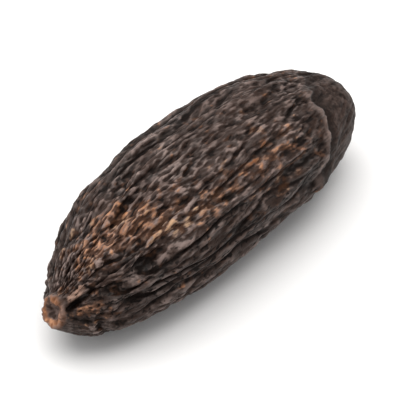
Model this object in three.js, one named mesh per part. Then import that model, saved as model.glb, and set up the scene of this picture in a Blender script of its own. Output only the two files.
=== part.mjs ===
// One dried tonka bean, the wrinkled seed of the tonka tree, lying on its flatter broad side.
// Sizes are in millimetres, +Z is up. The long axis runs along X, from the hilum scar at -X
// to the smooth blunt nose at +X, and the two keels run along the sides at +Y and -Y.
// The origin is on the ground, under the middle of the bean.
import * as THREE from "three";

// Driving sizes of the whole bean.
const LENGTH = 35;
const WIDTH = 13.4;
const THICKNESS = 10.8;

// Facets round the girth and along the length, and how far the rows crowd towards the two ends.
const FACETS_ROUND = 80;
const ROWS_ALONG = 60;
const ROW_CROWDING = 0.2;

// Body form. A fullness of 2 is an ellipse in outline, and more makes a blunter end.
const HILUM_FULLNESS = 2.12;
const BLUNT_FULLNESS = 2.9;
const SECTION_SQUARENESS = 2.3;
const CROWN_SHARE = 0.56; // share of the thickness that lies above the keels
const SIDE_BOW = 0.7; // the middle of the bean bows towards +Y
const HILUM_DROOP = 1.5; // each end hangs lower than the middle
const BLUNT_DROOP = 0.9;
const GROUND_TRIM = 0.22; // depth of the small flat that the bean rests on

// Long wrinkles, in families that cross and merge. Each has its number of crests round the
// girth, their depth, how far they sway in radians, the rhythm of that sway and where it starts.
const WRINKLES = [
  { crests: 17, depth: 0.32, sway: 1.5, pace: 3.1, start: 0.4 },
  { crests: 13, depth: 0.28, sway: -1.3, pace: 4.6, start: 2.5 },
  { crests: 21, depth: 0.18, sway: 1.9, pace: 6.3, start: 4.2 },
];
const CREST_SHARE = 0.64; // share of the wrinkle depth that stands above the smooth coat
const NOSE_WRINKLES = 0.12; // share of the wrinkle depth that is left on the nose
const GROUND_WRINKLES = 0.4; // and along the underside, where the bean is pressed flatter
const GROUND_HALF_WIDTH = 0.7; // radians to each side of straight down
const TIP_START = -0.8; // wrinkles fade from this station to the hilum tip
const POLE_FADE = 0.25; // relief has full height where the breadth is over this share

// Keels: the low ribs where the two halves of the seed meet. Each lies at an angle from +Y,
// in radians, and drifts by its slant from the middle of the bean to an end.
const KEELS = [
  { angle: 0.12, slant: 0, height: 0.22 },
  { angle: 2.95, slant: 0.45, height: 0.26 },
];
const KEEL_HALF_WIDTH = 0.11;
const KEEL_FADE = [0.1, 0.5]; // a keel grows to full height between these breadth shares

// The fold that closes the wrinkled coat in front of the nose. It lies nearest the nose at one
// angle and slants away from it round the girth, where it grows and the nose behind it lies
// lower. At the brow it reaches further over the nose. Places, reach and widths are shares of
// the half length.
const FOLD = { middle: 0.66, slant: 0.19, nearest: 0.6, halfWidth: 0.05 };
const BROW = { angle: 2.75, spread: 0.4, reach: 0.08 };
const FOLD_HEIGHT = { nearest: 0.06, opposite: 0.13 };
const NOSE_STEP = { nearest: 0.04, opposite: 0.22 };
const NOSE_STEP_LENGTH = 0.13;
const NOSE_CAP = 0.85; // from this station to the blunt tip the step runs out

// Hilum scar: a round collar with a pit, on the tip at -X, and the furrow that runs out of it.
const HILUM_OFFSET = { angle: 1.22, share: 0.16 };
const COLLAR_RADIUS = 0.95;
const COLLAR_HALF_WIDTH = 0.55;
const COLLAR_HEIGHT = 0.56;
const PIT_DEPTH = 0.3;
const PIT_RADIUS = 0.6;

// Furrows that run out from the hilum end: angle, middle and half length along the bean, depth
// and half width in radians.
const FURROWS = [
  { angle: 2.4, u: -0.88, along: 0.08, depth: 0.6, round: 0.22 },
  { angle: 0.75, u: -0.73, along: 0.18, depth: 0.45, round: 0.2 },
];

// Broad hollows and swellings left by drying: place, spread along and round, and height.
const SWELLINGS = [
  { u: -0.35, angle: 2.2, along: 0.2, round: 0.45, height: -0.25 },
  { u: 0.42, angle: 1.1, along: 0.22, round: 0.5, height: 0.22 },
  { u: 0.12, angle: 2.75, along: 0.18, round: 0.3, height: -0.28 },
  { u: -0.72, angle: 2.4, along: 0.13, round: 0.35, height: 0.3 },
  { u: -0.7, angle: 1.1, along: 0.14, round: 0.35, height: 0.26 },
  { u: 0.93, angle: 1.2, along: 0.09, round: 0.9, height: 0.5 },
  { u: 0.34, angle: 3.9, along: 0.2, round: 0.5, height: -0.34 },
  { u: -0.4, angle: 5.3, along: 0.25, round: 0.5, height: -0.2 },
  { u: -0.52, angle: 0.55, along: 0.16, round: 0.5, height: 0.22 },
  { u: -0.78, angle: 0, along: 0.12, round: 0.5, height: -0.34 },
  { u: -0.88, angle: 4.5, along: 0.13, round: 0.7, height: -0.38 },
];

const { lerp, smoothstep } = THREE.MathUtils;

// A smooth bump of height 1 that has faded to about a third at one spread from its middle.
function bump(distance, spread) {
  return Math.exp(-((distance / spread) ** 2));
}

// The signed angle from b to a, between -PI and PI.
function turn(a, b) {
  return Math.atan2(Math.sin(a - b), Math.cos(a - b));
}

// How full the outline is at station u, which runs from -1 at the hilum to 1 at the nose.
function fullnessAt(u) {
  return lerp(HILUM_FULLNESS, BLUNT_FULLNESS, (u + 1) / 2);
}

function breadthShare(u) {
  return Math.sqrt(Math.max(0, 1 - Math.abs(u) ** fullnessAt(u)));
}

// Distance from the middle line to the smooth coat at the widest station, at an angle from +Y.
function girthRadius(theta) {
  const halfHeight = THICKNESS * (Math.sin(theta) > 0 ? CROWN_SHARE : 1 - CROWN_SHARE);
  const across = Math.abs(Math.cos(theta)) / (WIDTH / 2);
  const upright = Math.abs(Math.sin(theta)) / halfHeight;
  return (across ** SECTION_SQUARENESS + upright ** SECTION_SQUARENESS) ** (-1 / SECTION_SQUARENESS);
}

function middleLine(u) {
  const droop = (u < 0 ? HILUM_DROOP : BLUNT_DROOP) * u * u;
  return new THREE.Vector3((LENGTH / 2) * u, SIDE_BOW * (1 - u * u), -droop);
}

function smoothPoint(u, theta) {
  const radius = breadthShare(u) * girthRadius(theta);
  const spoke = new THREE.Vector3(0, Math.cos(theta), Math.sin(theta));
  return middleLine(u).addScaledVector(spoke, radius);
}

function outward(u, theta) {
  const fullness = fullnessAt(u);
  const along = (fullness * Math.sign(u) * Math.abs(u) ** (fullness - 1)) / (LENGTH / 2);
  const away = (2 * breadthShare(u)) / girthRadius(theta);
  return new THREE.Vector3(along, away * Math.cos(theta), away * Math.sin(theta)).normalize();
}

function foldPlace(theta) {
  const brow = BROW.reach * bump(turn(theta, BROW.angle), BROW.spread);
  return FOLD.middle + FOLD.slant * Math.cos(theta - FOLD.nearest) + brow;
}

// 0 on the wrinkled coat and 1 on the smooth nose.
function noseShare(u, theta) {
  return smoothstep(u - foldPlace(theta), 0, NOSE_STEP_LENGTH);
}

// Crests are sharp and the valleys between them are round.
function wrinkleHeight(u, theta) {
  let height = 0;
  for (const { crests, depth, sway, pace, start } of WRINKLES) {
    const side = theta + start;
    const drift = sway * Math.sin(pace * u + start + 1.2 * Math.sin(side));
    const phase = crests * theta + drift * (1 + 0.5 * Math.sin(theta + side));
    height += depth * (CREST_SHARE - Math.abs(Math.sin(phase / 2)));
  }
  const nose = lerp(1, NOSE_WRINKLES, noseShare(u, theta));
  const tip = smoothstep(u, -1, TIP_START);
  const below = lerp(1, GROUND_WRINKLES, bump(turn(theta, -Math.PI / 2), GROUND_HALF_WIDTH));
  return height * nose * tip * below;
}

function keelHeight(u, theta) {
  const fade = smoothstep(breadthShare(u), ...KEEL_FADE);
  const ribs = KEELS.map(
    ({ angle, slant, height }) => height * bump(turn(theta, angle + slant * u), KEEL_HALF_WIDTH),
  );
  return fade * (1 - noseShare(u, theta)) * ribs.reduce((sum, rib) => sum + rib, 0);
}

// A height that changes round the girth from the angle where the fold lies nearest the nose.
function roundGirth({ nearest, opposite }, theta) {
  return lerp(nearest, opposite, (1 - Math.cos(theta - FOLD.nearest)) / 2);
}

function foldHeight(u, theta) {
  const crest = roundGirth(FOLD_HEIGHT, theta) * bump(u - foldPlace(theta), FOLD.halfWidth);
  const step = roundGirth(NOSE_STEP, theta) * noseShare(u, theta);
  return crest - step * (1 - smoothstep(u, NOSE_CAP, 1));
}

function furrowHeight(u, theta) {
  return FURROWS.reduce(
    (sum, f) => sum - f.depth * bump(u - f.u, f.along) * bump(turn(theta, f.angle), f.round),
    0,
  );
}

function swellingHeight(u, theta) {
  return SWELLINGS.reduce(
    (sum, s) => sum + s.height * bump(u - s.u, s.along) * bump(turn(theta, s.angle), s.round),
    0,
  );
}

const hilumCentre = smoothPoint(-Math.sqrt(1 - HILUM_OFFSET.share ** 2), HILUM_OFFSET.angle);

function hilumHeight(point) {
  const away = point.distanceTo(hilumCentre);
  const collar = COLLAR_HEIGHT * bump(away - COLLAR_RADIUS, COLLAR_HALF_WIDTH);
  return collar - PIT_DEPTH * bump(away, PIT_RADIUS);
}

// All relief but the hilum fades out at the two poles, where every angle meets.
function coatPoint(u, theta) {
  const point = smoothPoint(u, theta);
  const relief =
    wrinkleHeight(u, theta) +
    keelHeight(u, theta) +
    foldHeight(u, theta) +
    furrowHeight(u, theta) +
    swellingHeight(u, theta);
  const poleFade = smoothstep(breadthShare(u), 0, POLE_FADE);
  return point.addScaledVector(outward(u, theta), relief * poleFade + hilumHeight(point));
}

// A ball whose poles are the two ends of the bean, with every vertex moved onto the coat.
function coatGeometry() {
  const geometry = new THREE.SphereGeometry(1, FACETS_ROUND, ROWS_ALONG);
  const positions = geometry.getAttribute("position");
  const vertex = new THREE.Vector3();
  for (let i = 0; i < positions.count; i += 1) {
    vertex.fromBufferAttribute(positions, i);
    const fromNose = Math.acos(THREE.MathUtils.clamp(vertex.y, -1, 1));
    const u = Math.cos(fromNose - ROW_CROWDING * Math.sin(2 * fromNose));
    const theta = Math.atan2(vertex.x, vertex.z);
    positions.setXYZ(i, ...coatPoint(u, theta));
  }
  return geometry;
}

// Flattens what lies lowest, then brings the bean to its driving sizes and stands it on Z = 0.
function standOnGround(geometry) {
  const positions = geometry.getAttribute("position");
  geometry.computeBoundingBox();
  const ground = geometry.boundingBox.min.z + GROUND_TRIM;
  for (let i = 0; i < positions.count; i += 1) {
    positions.setZ(i, Math.max(positions.getZ(i), ground));
  }
  geometry.computeBoundingBox();
  const size = geometry.boundingBox.getSize(new THREE.Vector3());
  const middle = geometry.boundingBox.getCenter(new THREE.Vector3());
  geometry.translate(-middle.x, -middle.y, -ground);
  geometry.scale(LENGTH / size.x, WIDTH / size.y, THICKNESS / size.z);
  geometry.computeVertexNormals();
  return geometry;
}

const seedCoat = new THREE.MeshStandardMaterial({ color: 0x35291f, roughness: 0.62, metalness: 0 });
const bean = new THREE.Mesh(standOnGround(coatGeometry()), seedCoat);
bean.name = "bean";

const part = new THREE.Group();
part.add(bean);

export default part;
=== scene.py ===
"""One dried tonka bean: a long wrinkled seed that lies on its flatter broad side.

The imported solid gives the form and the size. This script wraps a fine mesh round it, grows the
wrinkled seed coat on that mesh with Geometry Nodes, and sets it on a pale floor in soft light.
"""

import math
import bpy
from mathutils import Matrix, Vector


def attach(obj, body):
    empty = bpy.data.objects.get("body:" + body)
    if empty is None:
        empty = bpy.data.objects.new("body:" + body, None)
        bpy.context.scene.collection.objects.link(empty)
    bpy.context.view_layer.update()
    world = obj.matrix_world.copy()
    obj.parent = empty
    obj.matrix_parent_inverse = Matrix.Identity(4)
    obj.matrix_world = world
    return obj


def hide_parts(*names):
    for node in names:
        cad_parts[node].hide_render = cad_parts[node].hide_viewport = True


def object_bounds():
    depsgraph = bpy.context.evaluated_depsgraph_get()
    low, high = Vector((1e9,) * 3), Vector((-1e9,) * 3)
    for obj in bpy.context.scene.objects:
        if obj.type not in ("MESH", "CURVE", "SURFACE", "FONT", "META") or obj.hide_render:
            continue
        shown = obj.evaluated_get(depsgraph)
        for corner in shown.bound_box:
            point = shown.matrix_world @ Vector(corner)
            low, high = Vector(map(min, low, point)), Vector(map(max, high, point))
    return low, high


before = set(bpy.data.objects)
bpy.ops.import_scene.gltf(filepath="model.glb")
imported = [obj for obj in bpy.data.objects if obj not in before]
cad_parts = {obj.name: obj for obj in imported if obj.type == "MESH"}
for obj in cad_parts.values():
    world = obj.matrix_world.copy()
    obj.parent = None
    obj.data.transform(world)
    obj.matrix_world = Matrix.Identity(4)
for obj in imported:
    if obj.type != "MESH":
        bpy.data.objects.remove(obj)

from types import SimpleNamespace

import bmesh
import bpy
import numpy as np
from bpy.props import (
    FloatProperty,
    FloatVectorProperty,
    IntProperty,
    PointerProperty,
)
from mathutils import Vector
from mathutils.bvhtree import BVHTree

CAD_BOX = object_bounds()
MM = 0.001

bl_info = {
    "name": "Tonka Bean",
    "version": (1, 0, 0),
    "blender": (4, 5, 0),
    "location": "View3D > Sidebar > Tonka",
    "description": "Builds one wrinkled dried tonka bean on a pale floor",
    "category": "Add Mesh",
}

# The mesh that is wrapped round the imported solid.
MERIDIANS = 400  # columns round the girth
RINGS = 240  # rings between the hilum tip and the nose tip
WELD_DISTANCE = 0.001 * MM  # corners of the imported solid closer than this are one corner
SECTION_STATIONS = np.linspace(-0.85, 0.85, 18)  # cross-sections that give the middle line
SECTION_REACH = 0.06  # how far along from its station a section gathers corners
WRAP_SMOOTHING = 2.2  # in cells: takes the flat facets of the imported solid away
RAY_SPREAD = 0.84  # share of the half length over which the rays start along the middle line
GROUND_TRIM = 0.08 * MM  # how deep the lowest crests are pressed flat on the ground

# The coordinates that the wrinkles follow, along the bean and on a drum round it.
TIP_PACE = 0.8  # how much faster they run along the bean at the tips, where strokes are short
OUTLINE_POWER = 2.3  # how bluntly the drum narrows towards the tips
TIP_GIRTH = 0.15  # share of the drum's radius that is left at the tips

# Places on the bean. Stations run from -1 at the hilum tip to 1 at the nose tip. Angles are in
# radians and run round the girth from +Y over the top.
HILUM_CENTRE = Vector((-16.63, -0.2, 4.1)) * MM
HILUM_CREASE = Vector((-16.5, -1.45, 4.9)) * MM, Vector((-14.2, -2.5, 6.3)) * MM
HILUM_PAD = Vector((-15.9, -1.2, 5.65)) * MM, Vector((-15.1, -1.55, 6.25)) * MM
FOLD_MIDDLE, FOLD_SLANT = 0.66, 0.19  # mean station of the fold, and how far it slants from it
FOLD_NEAREST = 0.6  # the angle where the slant brings the fold nearest to the nose tip
BROW_ANGLE, BROW_SPREAD, BROW_REACH = 2.75, 0.4, 0.08  # where the fold bulges to the nose
CRISP_ANGLE, CRISP_SPREAD = 2.4, 1.15  # where the coat ends in a crisp edge
CRISP_LEAST = 0.25  # how crisp it is elsewhere, where it fades out softly
TIP_CLEARANCE = 0.05  # how much further past the fold the nose tip counts
SHOULDER_CENTRE = Vector((15.8, -2.6, 6.5)) * MM  # the low swelling at the side of the nose
SHOULDER_SPREAD = 2.4 * MM
UNDERSIDE_ANGLE, UNDERSIDE_SPREAD = -math.pi / 2, 0.75
# The keels, where the furrows are long and deep and the coat is darkened with painted shade: angle,
# share.
KEELS = (0.4, 0.6), (3.08, 1.0)
KEEL_SPREAD = 0.5
KEEL_FADE = 0.6  # share of that depth which is lost towards the nose
# Where the dark skin has rubbed off most: station, angle, spread along, spread round, share.
RUBBED_PLACES = (
    (-0.62, 1.75, 0.18, 0.5, 1.55),
    (-0.87, 3.05, 0.07, 0.45, 0.75),
    (0.27, 2.95, 0.08, 0.15, 0.7),
    (-0.42, 2.25, 0.16, 0.35, 1.05),
    (-0.1, 2.45, 0.18, 0.22, 0.8),
    (0.22, 2.5, 0.15, 0.25, 0.7),
    (0.44, 2.55, 0.1, 0.3, 0.5),
    (-0.72, 0.8, 0.1, 0.4, 0.4),
    (0.2, 0.3, 0.3, 0.3, 0.5),
    (-0.3, 5.6, 0.3, 0.3, 0.5),
)
# Where the relief is lower, in the same terms.
CALM_PLACES = (
    (-0.75, 3.1, 0.22, 0.5, 0.2),
    (-0.1, 0.2, 0.7, 0.5, 0.3),
)
# Where it is darkest, in the same terms: partly the coat's own darker skin and partly painted
# shade, strongest on the upper far flank.
STAINED_AND_SHADED_PLACES = (
    (-0.64, 0.7, 0.16, 0.38, 1.2),
    (0.02, 1.6, 0.22, 0.42, 0.85),
    (0.1, 4.3, 0.3, 0.4, 0.5),
)

# Heights in millimetres, which the wrinkles' node tree works in. Those of the fold are given
# for its plain run, and then for what the brow adds.
LIP_HEIGHTS = 0.07, 0.2
GROOVE_DEPTHS = 0.1, 0.25
SHOULDER_HEIGHT = 0.5
CREASE_DEPTH = 0.4
PAD_HEIGHT = 0.08
CRUMB_HEIGHT = 0.8  # of the hilum's crumbly ring and pit
NOSE_RISE, NOSE_LUMPS, NOSE_ROWS = 0.05, 0.16, 0.06
COAT_ON_NOSE = 0.45  # share of the coat's relief that shows through on the nose

BLUR_STEPS = 14  # a point's relief is its height over the surface after this much blur
BUMP_STRENGTH, BUMP_HEIGHT = 0.6, 0.08 * MM

# The stage, in metres.
FLOOR_HALF_WIDTH = 3.0
LIGHT_DISTANCE = 0.6
SENSOR_WIDTH = 36  # of the camera, in millimetres
# The soft round lights: name, direction from the bean, width, colour.
KEY_LIGHT = ("key", (0.2, 0.33, 1.3), 1.1, (1, 0.98, 0.96))
RIM_LIGHT = ("rim", (-0.9, 0.9, 0.75), 0.3, (1, 1, 1))
FILL_LIGHT = ("fill", (-0.6, -0.8, 0.9), 0.5, (0.98, 0.99, 1))


def colour_setting(name, description, default):
    return FloatVectorProperty(
        name=name,
        description=description,
        default=default,
        size=3,
        min=0,
        max=1,
        subtype="COLOR",
    )


def length_setting(name, description, default, lowest):
    return FloatProperty(
        name=name, description=description, default=default, min=lowest, unit="LENGTH"
    )


def power_setting(name, description, default):
    return FloatProperty(
        name=name, description=description, default=default, min=0, unit="POWER"
    )


class TonkaCoatSettings(bpy.types.PropertyGroup):
    """Sizes and colours of the seed coat."""

    wrinkle_spacing: length_setting(
        "Wrinkle Spacing",
        "Distance across the bean from one long wrinkle to the next",
        1.6 * MM,
        0.5 * MM,
    )
    wrinkle_depth: length_setting(
        "Wrinkle Depth",
        "Height of the long wrinkles over the furrows beside them",
        0.3 * MM,
        0,
    )
    stroke_width: length_setting(
        "Stroke Width",
        "Width across the bean of the short raised strokes that cover the wrinkles",
        0.36 * MM,
        0.2 * MM,
    )
    stroke_stretch: FloatProperty(
        name="Stroke Stretch",
        description="Length of a stroke along the bean over its width",
        default=2.7,
        min=1,
    )
    stroke_depth: length_setting(
        "Stroke Depth",
        "Height of the strokes over the cracks between them",
        0.17 * MM,
        0,
    )
    seed: IntProperty(
        name="Seed",
        description="Picks one wrinkle pattern out of many",
        default=7,
        min=0,
    )
    # Besides the coat's own near-black, this colour carries the painted shade in the hollows, on
    # the flanks, in the dark places and at the fold's foot.
    furrow_colour: colour_setting(
        "Furrow Colour",
        "Near-black brown at the bottom of the furrows",
        (0.0055, 0.0025, 0.0015),
    )
    coat_colour: colour_setting(
        "Coat Colour",
        "Dark brown of the coat between furrows and crests",
        (0.038, 0.0212, 0.0157),
    )
    # Partly the crests' dusty colour and partly painted highlight on the raised strokes.
    crest_colour: colour_setting(
        "Crest Colour",
        "Greyish brown of the dusty crests",
        (0.247, 0.177, 0.155),
    )
    tan_colour: colour_setting(
        "Rubbed Colour",
        "Orange tan where the dark skin has rubbed off a crest",
        (0.51, 0.25, 0.132),
    )
    straw_colour: colour_setting(
        "Straw Colour",
        "Dull yellow of some of the rubbed crests",
        (0.42, 0.265, 0.155),
    )
    scar_colour: colour_setting(
        "Hilum Colour",
        "Corky brown of the ring round the hilum scar",
        (0.22, 0.09, 0.04),
    )


class TonkaStageSettings(bpy.types.PropertyGroup):
    """The floor, the lights and the camera."""

    floor_colour: colour_setting("Floor Colour", "Plain pale floor", (0.9, 0.9, 0.9))
    camera_azimuth: FloatProperty(
        name="Camera Azimuth",
        description="Turn of the camera round the bean. At 0 it looks along +Y",
        default=math.radians(-49),
        subtype="ANGLE",
    )
    camera_elevation: FloatProperty(
        name="Camera Elevation",
        description="Height of the camera over the floor as an angle",
        default=math.radians(42),
        subtype="ANGLE",
    )
    camera_distance: length_setting(
        "Camera Distance",
        "Distance from the camera to the middle of the bean",
        0.45,
        0.05,
    )
    framed_width: length_setting(
        "Framed Width",
        "Width of what the camera shows at the bean",
        32 * MM,
        5 * MM,
    )
    key_power: power_setting(
        "Key Light Power", "Power of the large soft light over the bean", 6.8
    )
    rim_power: power_setting(
        "Rim Light Power", "Power of the small light behind the hilum", 0.3
    )
    fill_power: power_setting(
        "Fill Light Power", "Power of the light that lifts the shadows in front", 0.3
    )
    room_strength: FloatProperty(
        name="Room Strength",
        description="Strength of the white light that comes from all round",
        default=0.48,
        min=0,
    )


# ---------------------------------------------------------------- building node trees


def place(tree, kind, inputs=None, **settings):
    """Adds a node, with its settings and its inputs, which are plain values or other sockets."""
    node = tree.nodes.new(kind)
    for name, value in settings.items():
        setattr(node, name, value)
    for key, value in (inputs or {}).items():
        if isinstance(value, Field):
            value = value.socket
        if isinstance(value, bpy.types.NodeSocket):
            tree.links.new(value, node.inputs[key])
        else:
            node.inputs[key].default_value = value
    return node


class Field:
    """A value that varies over the surface, as a node's output. Numbers have arithmetic."""

    def __init__(self, tree, socket):
        self.tree, self.socket = tree, socket

    def maths(self, operation, other=0.0):
        """Any operation of the Math node. One that takes one number ignores the other."""
        node = place(self.tree, "ShaderNodeMath", {0: self, 1: other}, operation=operation)
        return Field(self.tree, node.outputs[0])

    def __add__(self, other):
        return self.maths("ADD", other)

    def __sub__(self, other):
        return self.maths("SUBTRACT", other)

    def __mul__(self, other):
        return self.maths("MULTIPLY", other)

    def __pow__(self, other):
        return self.maths("POWER", other)

    def flip(self):
        """One minus the number."""
        node = place(self.tree, "ShaderNodeMath", {0: 1.0, 1: self}, operation="SUBTRACT")
        return Field(self.tree, node.outputs[0])

    def ramp(self, low, high, to_low=0.0, to_high=1.0):
        """Rises smoothly from to_low where the number is low to to_high where it is high."""
        node = place(
            self.tree,
            "ShaderNodeMapRange",
            {0: self, 1: low, 2: high, 3: to_low, 4: to_high},
            interpolation_type="SMOOTHSTEP",
        )
        return Field(self.tree, node.outputs[0])


def add_inputs(tree, kinds):
    """Gives a tree its named inputs and returns them as fields by name."""
    for name, kind in kinds.items():
        tree.interface.new_socket(name, in_out="INPUT", socket_type=kind)
    group = tree.nodes.new("NodeGroupInput")
    return {socket.name: Field(tree, socket) for socket in group.outputs if socket.name}


# ---------------------------------------------------------------- wrapping the solid


def merged_solid(node):
    """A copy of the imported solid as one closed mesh, for measuring only."""
    bm = bmesh.new()
    bm.from_mesh(node.data)
    bmesh.ops.remove_doubles(bm, verts=bm.verts, dist=WELD_DISTANCE)
    bmesh.ops.recalc_face_normals(bm, faces=bm.faces)
    return bm


def middle_line(bm, half_length):
    """Curves y(u) and z(u) through the middles of the solid's cross-sections."""
    points = np.array([v.co for v in bm.verts])
    stations = points[:, 0] / half_length
    rows = []
    for u in SECTION_STATIONS:
        near = points[abs(stations - u) < SECTION_REACH]
        rows.append((u, *((near.min(0) + near.max(0)) / 2)[1:]))
    u, y, z = np.array(rows).T
    return np.polyfit(u, y, 2), np.polyfit(u, z, 2)


def wrap_rings(tree, line, half_length, tilts, angles):
    """Where rays from the middle line meet the solid: one ring of points for each tilt."""
    rings = np.empty((len(tilts), len(angles), 3))
    for i, tilt in enumerate(tilts):
        start_u = RAY_SPREAD * math.sin(tilt)
        start = Vector(
            (
                start_u * half_length,
                np.polyval(line[0], start_u),
                np.polyval(line[1], start_u),
            )
        )
        for j, angle in enumerate(angles):
            ray = Vector(
                (
                    math.sin(tilt),
                    math.cos(tilt) * math.cos(angle),
                    math.cos(tilt) * math.sin(angle),
                )
            )
            hit = tree.ray_cast(start, ray)[0]
            if hit is None:
                raise RuntimeError("A ray from the middle line missed the packed solid")
            rings[i, j] = hit
    return rings


def even_tilts(tree, line, half_length, count):
    """Tilts that put the rings at even distances along the surface, and those distances."""
    quarter_degrees = np.radians(np.linspace(-90, 90, 721))
    angles = np.radians(np.arange(0, 360, 45))
    rings = wrap_rings(tree, line, half_length, quarter_degrees, angles)
    steps = np.linalg.norm(np.diff(rings, axis=0), axis=2).mean(1)
    run = np.concatenate(([0], np.cumsum(steps)))
    wanted = np.linspace(0, run[-1], count + 2)
    return np.interp(wanted, run, quarter_degrees), wanted - run[-1] / 2


def smoothed(rings, spread):
    """Gaussian blur over the grid. Across a tip, a column goes on in the opposite column."""
    reach = int(spread * 3) + 1
    weights = np.exp(-((np.arange(-reach, reach + 1) / spread) ** 2) / 2)
    weights /= weights.sum()
    across = rings.shape[1] // 2
    over_start = np.roll(rings[1 : reach + 1][::-1], across, axis=1)
    over_end = np.roll(rings[-reach - 1 : -1][::-1], across, axis=1)
    tall = np.concatenate((over_start, rings, over_end))
    along = sum(w * tall[k : k + len(rings)] for k, w in enumerate(weights))
    return sum(
        w * np.roll(along, k - reach, axis=1) for k, w in enumerate(weights)
    )


def grid_mesh(name, rings):
    """A closed mesh from the rings, whose first and last ring are the two tips."""
    count, columns = rings.shape[:2]
    inner = rings[1:-1].reshape(-1, 3)
    tips = [rings[0].mean(0), rings[-1].mean(0)]
    last = (count - 3) * columns
    first_tip, last_tip = len(inner), len(inner) + 1
    faces = []
    for i in range(count - 3):
        for j in range(columns):
            k = (j + 1) % columns
            a, b = i * columns + j, i * columns + k
            faces.append((a, b, b + columns, a + columns))
    for j in range(columns):
        k = (j + 1) % columns
        faces.append((first_tip, k, j))
        faces.append((last_tip, last + j, last + k))
    mesh = bpy.data.meshes.new(name)
    mesh.from_pydata(np.vstack((inner, tips)).tolist(), [], faces)
    return mesh


def per_vertex(grid):
    """Grid values in the order of grid_mesh's vertices."""
    inner = grid[1:-1].reshape(-1, *grid.shape[2:])
    return np.concatenate((inner, [grid[0].mean(0), grid[-1].mean(0)]))


def store(mesh, name, values):
    """Puts values on the mesh's vertices as a named attribute."""
    vector = values.ndim == 2
    kind, key = ("FLOAT_VECTOR", "vector") if vector else ("FLOAT", "value")
    layer = mesh.attributes.new(name, kind, "POINT")
    layer.data.foreach_set(key, np.ascontiguousarray(values, np.float32).ravel())


def smoothstep(values, low, high):
    """Rises smoothly from 0 where the value is low to 1 where it is high."""
    t = np.clip((values - low) / (high - low), 0, 1)
    return t * t * (3 - 2 * t)


def turn(a, b):
    """Signed angle from b to a."""
    return np.arctan2(np.sin(a - b), np.cos(a - b))


def from_segment(points, ends):
    """Distance of each point from the straight line between two ends, in millimetres."""
    start, end = (np.array(e) for e in ends)
    along = np.clip((points - start) @ (end - start) / ((end - start) @ (end - start)), 0, 1)
    return np.linalg.norm(points - start - along[..., None] * (end - start), axis=-1) / MM


def about(angle, middle, spread):
    """1 at an angle, and softly less on both sides of it."""
    return np.exp(-((turn(angle, middle) / spread) ** 2))


def in_places(station, angle, places):
    """Sum of soft spots on the coat, each as strong as its share in its middle."""
    return sum(
        share * np.exp(-(((station - u) / along) ** 2) - (turn(angle, middle) / around) ** 2)
        for u, middle, along, around, share in places
    )


def shortened(run):
    """Distances along the bean that run faster near the tips, where the strokes are short."""
    pace = 1 + TIP_PACE * smoothstep(abs(run) / run.max(), 0.55, 0.95)
    steps = (pace[1:] + pace[:-1]) / 2 * np.diff(run)
    total = np.concatenate(([0], np.cumsum(steps)))
    return total - total[-1] / 2


def coat_coordinates(run, station, angle):
    """Millimetres along the bean, and across it on a drum that narrows to the tips."""
    low, high = CAD_BOX
    girth_radius = (high.y - low.y + high.z - low.z) / 4
    breadth = np.sqrt(np.clip(1 - abs(station) ** OUTLINE_POWER, 0, 1))
    drum = girth_radius * (TIP_GIRTH + (1 - TIP_GIRTH) * breadth)
    along = np.broadcast_to(shortened(run)[:, None], station.shape)
    return np.stack((along, drum * np.cos(angle), drum * np.sin(angle)), axis=-1) / MM


def beyond_fold(station, angle, brow):
    """How far a place is past the fold, on a scale that stretches where the coat fades out."""
    fold = FOLD_MIDDLE + FOLD_SLANT * np.cos(angle - FOLD_NEAREST) + BROW_REACH * brow
    crisp = about(angle, CRISP_ANGLE, CRISP_SPREAD)
    past = (station - fold) * (CRISP_LEAST + (1 - CRISP_LEAST) * crisp)
    return past + TIP_CLEARANCE * smoothstep(station, 0.9, 1.0)


def on_flanks(station, angle):
    """Share of the long deep furrows and of the flanks' painted shade, which lie along the keels
    and fade to the nose.
    """
    flank = sum(share * about(angle, keel, KEEL_SPREAD) for keel, share in KEELS)
    return flank * (1 - KEEL_FADE * smoothstep(station, -0.2, 0.4))


def relief_shares(station, angle):
    """Share of the relief: less at the tips, towards the nose and underneath."""
    tip = smoothstep(1 - abs(station), 0.0, 0.15)
    under = about(angle, UNDERSIDE_ANGLE, UNDERSIDE_SPREAD)
    calm = 1.15 - 0.5 * smoothstep(station, -0.6, 0.5)
    calm = calm * (1 - in_places(station, angle, CALM_PLACES))
    return tip * calm * (1 - 0.5 * under)


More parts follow.
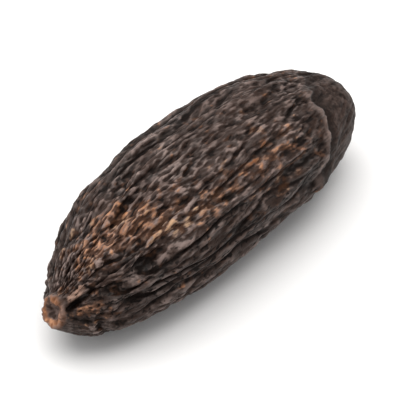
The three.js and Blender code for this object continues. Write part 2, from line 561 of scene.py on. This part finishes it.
def wrapped_bean(node):
    """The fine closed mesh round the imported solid, with the places of its features stored."""
    bm = merged_solid(node)
    solid = BVHTree.FromBMesh(bm)
    low, high = CAD_BOX
    half_length = (high.x - low.x) / 2
    line = middle_line(bm, half_length)
    bm.free()

    angles = np.linspace(0, 2 * math.pi, MERIDIANS, endpoint=False)
    tilts, run = even_tilts(solid, line, half_length, RINGS)
    rings = wrap_rings(solid, line, half_length, tilts, angles)
    rings = smoothed(rings, WRAP_SMOOTHING)
    mesh = grid_mesh("seed_coat", rings)

    station = rings[..., 0] / half_length
    angle = np.broadcast_to(angles, station.shape)
    brow = about(angle, BROW_ANGLE, BROW_SPREAD)
    to_hilum = np.linalg.norm(rings - np.array(HILUM_CENTRE), axis=2) / MM
    to_shoulder = np.linalg.norm(rings - np.array(SHOULDER_CENTRE), axis=2) / SHOULDER_SPREAD
    places = {
        "coat": coat_coordinates(run, station, angle),
        "past_fold": beyond_fold(station, angle, brow),
        "brow": brow,
        "flank": on_flanks(station, angle),
        "relief_share": relief_shares(station, angle),
        "rub": in_places(station, angle, RUBBED_PLACES),
        # Darker places: partly the coat's own darker skin and partly painted shade.
        "stain_and_shade": in_places(station, angle, STAINED_AND_SHADED_PLACES),
        "to_hilum": to_hilum,
        "to_crease": from_segment(rings, HILUM_CREASE),
        "to_pad": from_segment(rings, HILUM_PAD),
        "shoulder": np.exp(-(to_shoulder**2)),
    }
    for name, grid in places.items():
        store(mesh, name, per_vertex(grid))
    return mesh


# ---------------------------------------------------------------- growing the wrinkles

# Most noises add a number of their own to the seed, so that no two patterns are alike. The
# sizes that their coordinates are divided by are in millimetres, along the bean and across it.


def named(tree, name, kind="FLOAT"):
    """A stored attribute, in a tree of Geometry Nodes."""
    node = place(tree, "GeometryNodeInputNamedAttribute", {"Name": name}, data_type=kind)
    return Field(tree, node.outputs["Attribute"])


def noise(tree, vector, seed, detail, roughness=0.5, output="Fac"):
    """Seeded noise with about one cell for each unit of its coordinates."""
    node = place(
        tree,
        "ShaderNodeTexNoise",
        {"Vector": vector, "W": seed, "Scale": 1.0, "Detail": detail, "Roughness": roughness},
        noise_dimensions="4D",
        noise_type="FBM",
        normalize=True,
    )
    return Field(tree, node.outputs[output])


def scaled(tree, vector, along, across):
    """The coat coordinates divided by a length along the bean and a width across it."""
    size = place(tree, "ShaderNodeCombineXYZ", {0: along, 1: across, 2: across})
    node = place(
        tree,
        "ShaderNodeVectorMath",
        {0: vector, 1: size.outputs[0]},
        operation="DIVIDE",
    )
    return node.outputs[0]


def stirred(tree, vector, cells, seed, detail, amount):
    """Pushes a vector to and fro by the colour of noise, so that straight wrinkles wander."""
    push = noise(tree, cells, seed, detail, output="Color")
    middle = place(
        tree,
        "ShaderNodeVectorMath",
        {0: push, 1: (0.5, 0.5, 0.5)},
        operation="SUBTRACT",
    )
    pushed = place(
        tree,
        "ShaderNodeVectorMath",
        {0: middle.outputs[0], 1: amount, 2: vector},
        operation="MULTIPLY_ADD",
    )
    return pushed.outputs[0]


def strokes_noise(tree, vector, width, stretch, seed):
    """Short strokes along the bean: high on a stroke and low in the cracks between strokes."""
    return noise(tree, scaled(tree, vector, width * stretch, width), seed + 23.1, 1.0)


def coat_strokes(tree, vector, width, stretch, seed, flank):
    """The strokes of the coat: short on the broad sides and long on the flanks."""
    short = strokes_noise(tree, vector, width, stretch, seed)
    long = strokes_noise(tree, vector, width * 1.1, stretch * 2.4, seed + 7.7)
    return short + (long - short) * flank * 0.85


def line(field, sharpness):
    """1 along the lines where the noise passes its middle, 0 away from them."""
    away = ((field - 0.5).maths("ABSOLUTE") * sharpness).maths("MINIMUM", 1.0)
    return away.flip() ** 1.5


def bent_coordinates(tree, coat, seed):
    """The coat coordinates in three states, each more bent than the last."""
    curved = stirred(tree, coat, scaled(tree, coat, 10.0, 5.0), seed, 1.0, (0.0, 1.2, 1.2))
    tangled = stirred(
        tree, curved, scaled(tree, coat, 2.4, 1.6), seed + 3.7, 1.0, (0.4, 0.25, 0.25)
    )
    frayed = stirred(
        tree, tangled, scaled(tree, coat, 0.8, 0.55), seed + 12.9, 0.0, (0.25, 0.08, 0.08)
    )
    return curved, tangled, frayed


def long_furrows(tree, coat, curved, flank, given):
    """1 in the furrows between the long wrinkles, with weaker and stronger patches."""
    seed, spacing = given["Seed"], given["Wrinkle Spacing"]
    patches = noise(tree, scaled(tree, coat, 7.0, 4.0), seed + 5.1, 1.0)
    wrinkles = noise(tree, scaled(tree, curved, spacing * 8.0, spacing), seed, 1.0, 0.35)
    return line(wrinkles, 9.0) * patches.ramp(0.3, 0.7, 0.5, 1.15) * (flank * 0.6 + 1.0)


def narrow_rows(tree, tangled, seed):
    """1 in the narrow rows that run between the strokes."""
    return line(noise(tree, scaled(tree, tangled, 8.0, 0.85), seed + 41.3, 0.0), 6.0)


def ragged_edge(tree, coat, seed):
    """Below 0 on the wrinkled coat and above 0 on the nose, with a ragged line between."""
    ragged = noise(tree, scaled(tree, coat, 1.6, 1.6), seed + 31.7, 3.0, 0.6)
    return named(tree, "past_fold") + (ragged - 0.5) * 0.08


def level_of_crests(tree, geometry, height):
    """The mean height over the whole mesh plus its standard deviation."""
    node = place(
        tree, "GeometryNodeAttributeStatistic", {"Geometry": geometry, "Attribute": height}
    )
    mean = Field(tree, node.outputs["Mean"])
    return mean + Field(tree, node.outputs["Standard Deviation"])


def fold_height(edge, brow):
    """The coat's raised lip and the groove past it. Both are strongest at the brow."""
    lip = edge.ramp(-0.07, -0.015) * edge.ramp(0.0, 0.02, 1.0, 0.0)
    groove = edge.ramp(-0.005, 0.02) * edge.ramp(0.035, 0.09, 1.0, 0.0)
    lip_height = brow * LIP_HEIGHTS[1] + LIP_HEIGHTS[0]
    groove_depth = brow * GROOVE_DEPTHS[1] + GROOVE_DEPTHS[0]
    return lip * lip_height - groove * groove_depth


def hilum_height(tree, to_hilum, crumbs):
    """The crumbly ring and pit of the hilum, and the crease and the pad beside it."""
    ring = to_hilum.ramp(0.5, 0.9) * to_hilum.ramp(1.2, 1.6, 1.0, 0.0)
    pit = to_hilum.ramp(0.4, 0.85, 1.0, 0.0)
    crumbly = crumbs * CRUMB_HEIGHT
    scar = ring * (crumbly - 0.3) - pit * (crumbly - 0.2)
    crease = named(tree, "to_crease").ramp(0.08, 0.42, 1.0, 0.0)
    pad = named(tree, "to_pad").ramp(0.2, 0.5, 1.0, 0.0)
    return scar - crease * CREASE_DEPTH + pad * PAD_HEIGHT


def nose_height(tree, coat, seed, edge, rows):
    """Low lumps on the smooth nose, where the rows go on faintly."""
    lumps = noise(tree, scaled(tree, coat, 2.2, 1.4), seed + 61.3, 1.0) - 0.5
    return (lumps * NOSE_LUMPS + NOSE_RISE - rows * NOSE_ROWS) * edge.ramp(0.0, 0.08)


def pushed_out(tree, geometry, height):
    """Moves every point out along its normal by a height in millimetres."""
    normal = place(tree, "GeometryNodeInputNormal").outputs[0]
    push = place(
        tree,
        "ShaderNodeVectorMath",
        {0: normal, "Scale": height * MM},
        operation="SCALE",
    )
    node = place(
        tree, "GeometryNodeSetPosition", {"Geometry": geometry, "Offset": push.outputs[0]}
    )
    return node.outputs[0]


def kept_field(tree, geometry, name, field, kind="FLOAT"):
    """Stores a field on the points as a named attribute, for the material."""
    node = place(
        tree,
        "GeometryNodeStoreNamedAttribute",
        {"Geometry": geometry, "Name": name, "Value": field},
        data_type=kind,
        domain="POINT",
    )
    return node.outputs[0]


COAT_INPUTS = {
    "Geometry": "NodeSocketGeometry",
    "Wrinkle Spacing": "NodeSocketFloat",
    "Wrinkle Depth": "NodeSocketFloat",
    "Stroke Width": "NodeSocketFloat",
    "Stroke Stretch": "NodeSocketFloat",
    "Stroke Depth": "NodeSocketFloat",
    "Seed": "NodeSocketFloat",
    "Material": "NodeSocketMaterial",
}


def coat_tree():
    """Geometry Nodes that cut the smooth bean into long wrinkles, rows and short strokes."""
    tree = bpy.data.node_groups.new("wrinkled seed coat", "GeometryNodeTree")
    tree.is_modifier = True
    given = add_inputs(tree, COAT_INPUTS)
    tree.interface.new_socket("Geometry", in_out="OUTPUT", socket_type="NodeSocketGeometry")

    seed, width, stretch = given["Seed"], given["Stroke Width"], given["Stroke Stretch"]
    coat = named(tree, "coat", "FLOAT_VECTOR").socket
    flank = named(tree, "flank")
    share = named(tree, "relief_share")
    to_hilum = named(tree, "to_hilum")
    position = place(tree, "GeometryNodeInputPosition").outputs[0]
    curved, tangled, frayed = bent_coordinates(tree, coat, seed)
    furrows = long_furrows(tree, coat, curved, flank, given)
    rows = narrow_rows(tree, tangled, seed)
    strokes = coat_strokes(tree, frayed, width, stretch, seed, flank).ramp(0.34, 0.62)
    edge = ragged_edge(tree, coat, seed)
    crumbs = noise(tree, scaled(tree, position, 0.5 * MM, 0.5 * MM), seed + 57.3, 1.0)

    coat_height = (strokes - rows * 0.8) * given["Stroke Depth"] - furrows * given["Wrinkle Depth"]
    crests = level_of_crests(tree, given["Geometry"], coat_height)
    amplitude = edge.ramp(-0.05, 0.03, 1.0, COAT_ON_NOSE) * to_hilum.ramp(1.2, 1.9) * share
    height = (coat_height - crests) * amplitude
    height = height + fold_height(edge, named(tree, "brow")) * share
    height = height + hilum_height(tree, to_hilum, crumbs)
    height = height + nose_height(tree, coat, seed, edge, rows) * share
    height = height + named(tree, "shoulder") * SHOULDER_HEIGHT

    blur = place(
        tree,
        "GeometryNodeBlurAttribute",
        {"Value": height, "Iterations": BLUR_STEPS},
        data_type="FLOAT",
    )
    relief = height - Field(tree, blur.outputs["Value"])

    grown_coat = pushed_out(tree, given["Geometry"], height)
    fields = {"relief": relief, "edge": edge, "furrows": furrows, "rows": rows, "crumbs": crumbs}
    for name, field in fields.items():
        grown_coat = kept_field(tree, grown_coat, name, field)
    grown_coat = kept_field(tree, grown_coat, "frayed", frayed, "FLOAT_VECTOR")
    shaded = place(tree, "GeometryNodeSetShadeSmooth", {"Geometry": grown_coat})
    real = place(tree, "GeometryNodeRealizeInstances", {"Geometry": shaded.outputs[0]})
    coloured = place(
        tree,
        "GeometryNodeSetMaterial",
        {"Geometry": real.outputs[0], "Material": given["Material"]},
    )
    place(tree, "NodeGroupOutput", {0: coloured.outputs[0]})
    return tree


def grown(obj, tree, values):
    """The object's mesh after the node tree, as a plain mesh on a plain object."""
    modifier = obj.modifiers.new(tree.name, "NODES")
    modifier.node_group = tree
    keys = {
        item.name: item.identifier
        for item in tree.interface.items_tree
        if item.item_type == "SOCKET" and item.in_out == "INPUT"
    }
    for name, value in values.items():
        modifier[keys[name]] = value
    graph = bpy.context.evaluated_depsgraph_get()
    mesh = bpy.data.meshes.new_from_object(obj.evaluated_get(graph))
    mesh.name = obj.name
    obj.modifiers.remove(modifier)
    obj.data = mesh
    return mesh


def settle(mesh):
    """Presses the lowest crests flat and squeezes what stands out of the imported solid's box."""
    count = len(mesh.vertices)
    points = np.empty(count * 3, np.float32)
    mesh.vertices.foreach_get("co", points)
    points = points.reshape(-1, 3).astype(float)
    box_low, box_high = (np.array(corner) for corner in CAD_BOX)
    points[:, 2] = np.maximum(points[:, 2] - points[:, 2].min() - GROUND_TRIM, 0) + box_low[2]
    low = np.minimum(points.min(0), box_low)
    high = np.maximum(points.max(0), box_high)
    points = box_low + (points - low) * (box_high - box_low) / (high - low)
    mesh.vertices.foreach_set("co", points.astype(np.float32).ravel())
    mesh.update()


# ---------------------------------------------------------------- materials


def read(tree, name, output="Fac"):
    """A stored attribute, in a material."""
    node = place(tree, "ShaderNodeAttribute", attribute_name=name)
    return Field(tree, node.outputs[output])


def mix(tree, share, below, above):
    """Blends two colours. Each is a socket or a plain red, green and blue."""
    inputs = {0: share, 6: below, 7: above}
    for key in (6, 7):
        if not isinstance(inputs[key], bpy.types.NodeSocket):
            inputs[key] = (*inputs[key], 1)
    return place(tree, "ShaderNodeMix", inputs, data_type="RGBA").outputs[2]


def surface_noise(tree, vector, scale, detail, roughness=0.6):
    """Noise for a material, with a number of cells for each unit of its coordinates."""
    node = place(
        tree,
        "ShaderNodeTexNoise",
        {"Vector": vector, "Scale": scale, "Detail": detail, "Roughness": roughness},
    )
    return Field(tree, node.outputs["Fac"])


def coat_patterns(tree, coat):
    """The patterns that the coat's colour, gloss and bump share, as named fields."""
    where = place(tree, "ShaderNodeTexCoord").outputs["Object"]
    pattern = read(tree, "coat", "Vector")
    frayed = read(tree, "frayed", "Vector")
    width, stretch = coat.stroke_width / MM, coat.stroke_stretch
    on = SimpleNamespace()
    for name in ("relief", "furrows", "rows", "rub", "brow", "edge", "flank", "crumbs", "to_hilum"):
        setattr(on, name, read(tree, name))
    on.coat = on.edge.ramp(-0.02, 0.04, 1.0, 0.0)
    on.nose = on.coat.flip()

    # All over, in cells per metre.
    on.grain = surface_noise(tree, where, 5200, 3)
    on.blotches = surface_noise(tree, where, 1500, 4, 0.75)
    on.mottle = surface_noise(tree, where, 420, 3)
    # In the coat's own coordinates, which are in millimetres along the bean and across it.
    on.patches = surface_noise(tree, pattern, 0.36, 2)
    on.streaks = surface_noise(tree, scaled(tree, pattern, 2.5, 0.3), 1.0, 2)
    on.dull_sides = surface_noise(tree, scaled(tree, pattern, 5.0, 2.5), 1.0, 1)
    on.luck = surface_noise(tree, scaled(tree, frayed, 1.05, 0.6), 1.0, 1)
    on.hue = surface_noise(tree, scaled(tree, frayed, 1.3, 1.0), 1.3, 1)

    on.fine = strokes_noise(tree, frayed, width * 0.5, stretch, coat.seed + 3.3)
    on.stroke = coat_strokes(tree, frayed, width, stretch, float(coat.seed), on.flank)
    on.stroke = on.stroke + (on.grain - 0.5) * 0.12
    on.rugged = read(tree, "relief_share").ramp(0.3, 0.9, 0.55, 1.15)
    on.crack = coat_cracks(on)
    on.dark = darkness(tree, on)
    return on


def coat_cracks(on):
    """1 in the cracks between the strokes, and less in the finer cracks on them."""
    fine_crack = on.fine.ramp(0.52, 0.3) * (on.flank * 0.6 + 0.35)
    narrow = on.relief.ramp(-0.01, -0.05, 0.55, 1.0)
    crack = on.stroke.ramp(0.42, 0.32) * on.rugged * narrow
    return crack.maths("MAXIMUM", fine_crack)


def darkness(tree, on):
    """How dark the surface is. Cracks, rows, furrows and low relief are darker, partly the coat's
    own near-black and partly painted shade in the hollows; the flanks and the listed dark places
    get painted shade, the places partly darker skin too; the nose has dark blotches.
    """
    broken = on.crack * on.fine.ramp(0.48, 0.62, 0.97, 0.65)
    deep = on.furrows * on.stroke.ramp(0.44, 0.6, 0.95, 0.45)
    deep = deep * on.relief.ramp(-0.02, -0.08, 0.55, 1.0)
    # Darker where the relief is low: painted shade in the hollows.
    dark = broken + on.rows * 0.55 + deep + on.relief.ramp(-0.08, -0.2) * 0.5
    dark = dark * (on.coat * 0.65 + 0.35)
    # Along the keels the flanks are darkened with painted shade.
    # The listed dark places are partly darker skin and partly painted shade.
    shade_and_stain = on.flank * 0.36 + read(tree, "stain_and_shade") * 0.45
    dull = (on.blotches.ramp(0.35, 0.65, 0.75, 0.0) * on.nose).maths("MAXIMUM", shade_and_stain)
    return dark.maths("MAXIMUM", dull) + on.rows * on.nose * 0.25


def brown_colour(tree, coat, on):
    """Dark brown with greyish strokes on the raised crests, partly dust and partly painted
    highlight, and near-black in the cracks and furrows, partly painted shade.
    """
    # The pale crests are partly dusty colour and partly painted highlight.
    dust_and_sheen = on.hue * 0.9 + on.mottle.ramp(0.35, 0.65) * 0.65
    pale = on.stroke.ramp(0.46, 0.63) * on.relief.ramp(-0.05, 0.06) * dust_and_sheen
    pale = pale * (on.rub * 0.7 + on.fine * 1.2 + 0.1) * on.rugged
    nose = on.streaks.ramp(0.4, 0.65) * 0.06 + on.stroke.ramp(0.44, 0.62) * 0.17 + on.fine * 0.06
    # The flanks get fewer pale strokes, which adds to their painted shade.
    pale = pale * on.coat * (on.flank * 0.25).flip() + nose * on.nose
    colour = mix(tree, pale, coat.coat_colour, coat.crest_colour)
    return mix(tree, on.dark.maths("MINIMUM", 1.0), colour, coat.furrow_colour)


def add_rubbed_strokes(tree, coat, on, colour):
    """Orange tan and dull straw on some strokes, and a reddish blush round them."""
    chance = on.luck * 1.15 + on.rub * 0.34 + (on.patches - 0.5) * 0.4 - 0.185
    heart = (on.stroke + (on.fine - 0.5) * 0.4).ramp(0.46, 0.7) * on.relief.ramp(-0.06, 0.06)
    straw = on.dull_sides.ramp(0.52, 0.62) * on.mottle.ramp(0.4, 0.55)
    warm = mix(tree, on.hue.ramp(0.35, 0.65), coat.scar_colour, coat.tan_colour)
    warm = mix(tree, straw, warm, coat.straw_colour)
    blush = chance.ramp(0.5, 0.75) * on.crack.flip() * on.coat
    colour = mix(tree, blush * 0.2, colour, coat.scar_colour)
    return mix(tree, chance.ramp(0.58, 0.76) * heart * on.coat, colour, warm)


def add_fold(tree, coat, on, colour):
    """A pale rim along the fold's lip, painted highlight in the crest colour, and a dark line at
    its foot, painted shade in the groove.
    """
    lip = on.edge.ramp(-0.04, -0.015) * on.edge.ramp(-0.005, 0.01, 1.0, 0.0)
    # Painted highlight along the lip's crest.
    rim = lip * (on.brow * 0.85 + 0.12) * on.mottle.ramp(0.35, 0.65, 0.2, 0.8)
    # Painted shade in the groove at the foot of the fold.
    foot = on.edge.ramp(0.0, 0.015) * on.edge.ramp(0.04, 0.085, 1.0, 0.0)
    colour = mix(tree, rim, colour, coat.crest_colour)
    return mix(tree, foot * 0.65, colour, coat.furrow_colour)


def add_hilum(tree, coat, on, colour):
    """The corky ring of the hilum and its worn pit, the dark crease and the pale pad."""
    reach = on.to_hilum + (on.crumbs - 0.5) * 0.9
    ring = reach.ramp(1.45, 1.1) * reach.ramp(0.55, 0.9)
    crumbled = (on.crumbs * 0.6 + on.mottle * 0.4).ramp(0.54, 0.42) * 0.85
    cork = mix(tree, on.crumbs.ramp(0.5, 0.68), coat.scar_colour, coat.tan_colour)
    cork = mix(tree, crumbled, cork, coat.coat_colour)
    dusty = on.crumbs.ramp(0.4, 0.56) * 0.85 + 0.05
    worn = mix(tree, dusty, coat.coat_colour, coat.crest_colour)
    crease = read(tree, "to_crease").ramp(0.36, 0.12) * 0.9
    pad = read(tree, "to_pad").ramp(0.5, 0.2) * on.stroke.ramp(0.32, 0.46)
    pad = pad * on.crumbs.ramp(0.35, 0.6, 0.45, 0.9)
    pad_colour = mix(tree, 0.3, coat.crest_colour, coat.tan_colour)

    colour = mix(tree, reach.ramp(1.5, 1.2), colour, worn)
    colour = mix(tree, ring * on.mottle.ramp(0.35, 0.55, 0.5, 1.0), colour, cork)
    colour = mix(tree, crease, colour, coat.furrow_colour)
    return mix(tree, pad, colour, pad_colour)


def coat_bump(tree, on):
    """The bumps that are too fine for the mesh."""
    coat = (on.stroke * 2.0 + on.fine * (on.flank * 2.0 + 1.0)) * on.coat
    nose = (on.streaks + on.blotches) * on.nose * 0.5
    inputs = {
        "Height": on.grain * 0.25 + coat + nose,
        "Strength": BUMP_STRENGTH,
        "Distance": BUMP_HEIGHT,
    }
    return place(tree, "ShaderNodeBump", inputs).outputs[0]


def principled(name):
    """A new material, its node tree and the inputs of its shader."""
    material = bpy.data.materials.new(name)
    material.use_nodes = True
    tree = material.node_tree
    return material, tree, tree.nodes["Principled BSDF"].inputs


def coat_material(coat):
    """Brown strokes with dark cracks between them. Some strokes are rubbed to orange tan."""
    material, tree, inputs = principled("dried seed coat")
    on = coat_patterns(tree, coat)
    colour = brown_colour(tree, coat, on)
    colour = add_rubbed_strokes(tree, coat, on, colour)
    colour = add_fold(tree, coat, on, colour)
    colour = add_hilum(tree, coat, on, colour)
    tree.links.new(colour, inputs["Base Color"])

    rough = on.mottle * 0.2 + on.dark * 0.15 + on.nose * 0.12 + 0.34
    tree.links.new(rough.socket, inputs["Roughness"])
    inputs["Specular IOR Level"].default_value = 0.12
    wax = on.relief.ramp(-0.05, 0.03) * on.crack.flip() * (on.mottle.ramp(0.35, 0.65) * 0.3 + 0.05)
    wax = wax * (on.coat * 0.75 + 0.25)
    tree.links.new(wax.socket, inputs["Coat Weight"])
    inputs["Coat Roughness"].default_value = 0.34
    tree.links.new(coat_bump(tree, on), inputs["Normal"])
    return material


def floor_material(stage):
    """A pale matt floor with a faint cloud in it."""
    material, tree, inputs = principled("pale floor")
    where = place(tree, "ShaderNodeTexCoord").outputs["Object"]
    cloud = surface_noise(tree, where, 9, 2)
    darker = tuple(channel * 0.985 for channel in stage.floor_colour)
    tree.links.new(mix(tree, cloud, stage.floor_colour, darker), inputs["Base Color"])
    inputs["Roughness"].default_value = 0.7
    inputs["Specular IOR Level"].default_value = 0.2
    return material


# ---------------------------------------------------------------- operators


def linked(name, data):
    """A new object in the scene."""
    obj = bpy.data.objects.new(name, data)
    bpy.context.scene.collection.objects.link(obj)
    return obj


class TONKA_OT_seed(bpy.types.Operator):
    """Wraps, wrinkles and colours the whole bean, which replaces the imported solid"""

    bl_idname = "tonka.seed"
    bl_label = "Tonka Bean"

    def execute(self, context):
        coat = context.scene.tonka_coat
        obj = linked("seed_coat", wrapped_bean(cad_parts["bean"]))
        mesh = grown(
            obj,
            coat_tree(),
            {
                "Wrinkle Spacing": coat.wrinkle_spacing / MM,
                "Wrinkle Depth": coat.wrinkle_depth / MM,
                "Stroke Width": coat.stroke_width / MM,
                "Stroke Stretch": coat.stroke_stretch,
                "Stroke Depth": coat.stroke_depth / MM,
                "Seed": float(coat.seed),
                "Material": coat_material(coat),
            },
        )
        settle(mesh)
        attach(obj, "root")
        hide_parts("bean")
        return {"FINISHED"}


def aim(obj, direction, distance, target):
    """Puts an object at a distance from the target in a direction, facing the target."""
    obj.location = target + direction.normalized() * distance
    obj.rotation_mode = "QUATERNION"
    obj.rotation_quaternion = direction.to_track_quat("Z", "Y")


def add_light(light, power, target):
    """Adds a soft round light, which is one of the lights listed at the top."""
    name, direction, width, colour = light
    data = bpy.data.lights.new(name, "AREA")
    data.shape = "DISK"
    data.size, data.energy, data.color = width, power, colour
    aim(linked(name, data), Vector(direction), LIGHT_DISTANCE, target)


def add_room(strength):
    """White light from all round."""
    world = bpy.data.worlds.new("soft room")
    world.use_nodes = True
    background = world.node_tree.nodes["Background"].inputs
    background["Color"].default_value = (1, 1, 1, 1)
    background["Strength"].default_value = strength
    bpy.context.scene.world = world


def floor_mesh():
    """One large square at the height of the ground."""
    half = FLOOR_HALF_WIDTH
    corners = [(-half, -half, 0), (half, -half, 0), (half, half, 0), (-half, half, 0)]
    mesh = bpy.data.meshes.new("floor")
    mesh.from_pydata(corners, [], [(0, 1, 2, 3)])
    return mesh


def back_vector(azimuth, elevation):
    """The direction from the bean to a camera."""
    return Vector(
        (
            math.sin(azimuth) * math.cos(elevation),
            -math.cos(azimuth) * math.cos(elevation),
            math.sin(elevation),
        )
    )


def middle_of_outline(back):
    """The point that lies in the middle of the bean's outline, seen along a direction."""
    right = Vector((0, 0, 1)).cross(back).normalized()
    up = back.cross(right)
    points = [v.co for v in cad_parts["bean"].data.vertices]
    middle = Vector()
    for axis in (right, up, back):
        along = [p.dot(axis) for p in points]
        middle += axis * (min(along) + max(along)) / 2
    return middle


def add_camera(stage):
    """A camera that frames the bean from the stage's azimuth and elevation."""
    data = bpy.data.cameras.new("camera")
    data.sensor_width = SENSOR_WIDTH
    data.lens = data.sensor_width * stage.camera_distance / stage.framed_width
    data.clip_start, data.clip_end = 0.01, 10
    camera = linked("camera", data)
    back = back_vector(stage.camera_azimuth, stage.camera_elevation)
    aim(camera, back, stage.camera_distance, middle_of_outline(back))
    bpy.context.scene.camera = camera


class TONKA_OT_stage(bpy.types.Operator):
    """Adds the pale floor, the soft lights and the camera"""

    bl_idname = "tonka.stage"
    bl_label = "Stage"

    def execute(self, context):
        stage = context.scene.tonka_stage
        mesh = floor_mesh()
        mesh.materials.append(floor_material(stage))
        linked("floor", mesh)

        low, high = CAD_BOX
        middle = (low + high) / 2
        add_room(stage.room_strength)
        add_light(KEY_LIGHT, stage.key_power, middle)
        add_light(RIM_LIGHT, stage.rim_power, middle)
        add_light(FILL_LIGHT, stage.fill_power, middle)
        add_camera(stage)
        context.scene.view_settings.view_transform = "Standard"
        return {"FINISHED"}


class TONKA_PT_panel(bpy.types.Panel):
    """Lists the bean's and the stage's settings with their buttons"""

    bl_label = "Tonka Bean"
    bl_idname = "TONKA_PT_panel"
    bl_space_type = "VIEW_3D"
    bl_region_type = "UI"
    bl_category = "Tonka"

    def draw(self, context):
        for settings, operator in (
            (context.scene.tonka_coat, TONKA_OT_seed),
            (context.scene.tonka_stage, TONKA_OT_stage),
        ):
            box = self.layout.box()
            for name in settings.__annotations__:
                box.prop(settings, name)
            box.operator(operator.bl_idname)


CLASSES = (
    TonkaCoatSettings,
    TonkaStageSettings,
    TONKA_OT_seed,
    TONKA_OT_stage,
    TONKA_PT_panel,
)


def register():
    for cls in CLASSES:
        bpy.utils.register_class(cls)
    bpy.types.Scene.tonka_coat = PointerProperty(type=TonkaCoatSettings)
    bpy.types.Scene.tonka_stage = PointerProperty(type=TonkaStageSettings)


def unregister():
    del bpy.types.Scene.tonka_stage
    del bpy.types.Scene.tonka_coat
    for cls in reversed(CLASSES):
        bpy.utils.unregister_class(cls)


def main():
    register()
    bpy.ops.tonka.stage()
    bpy.ops.tonka.seed()


if __name__ == "__main__":
    main()
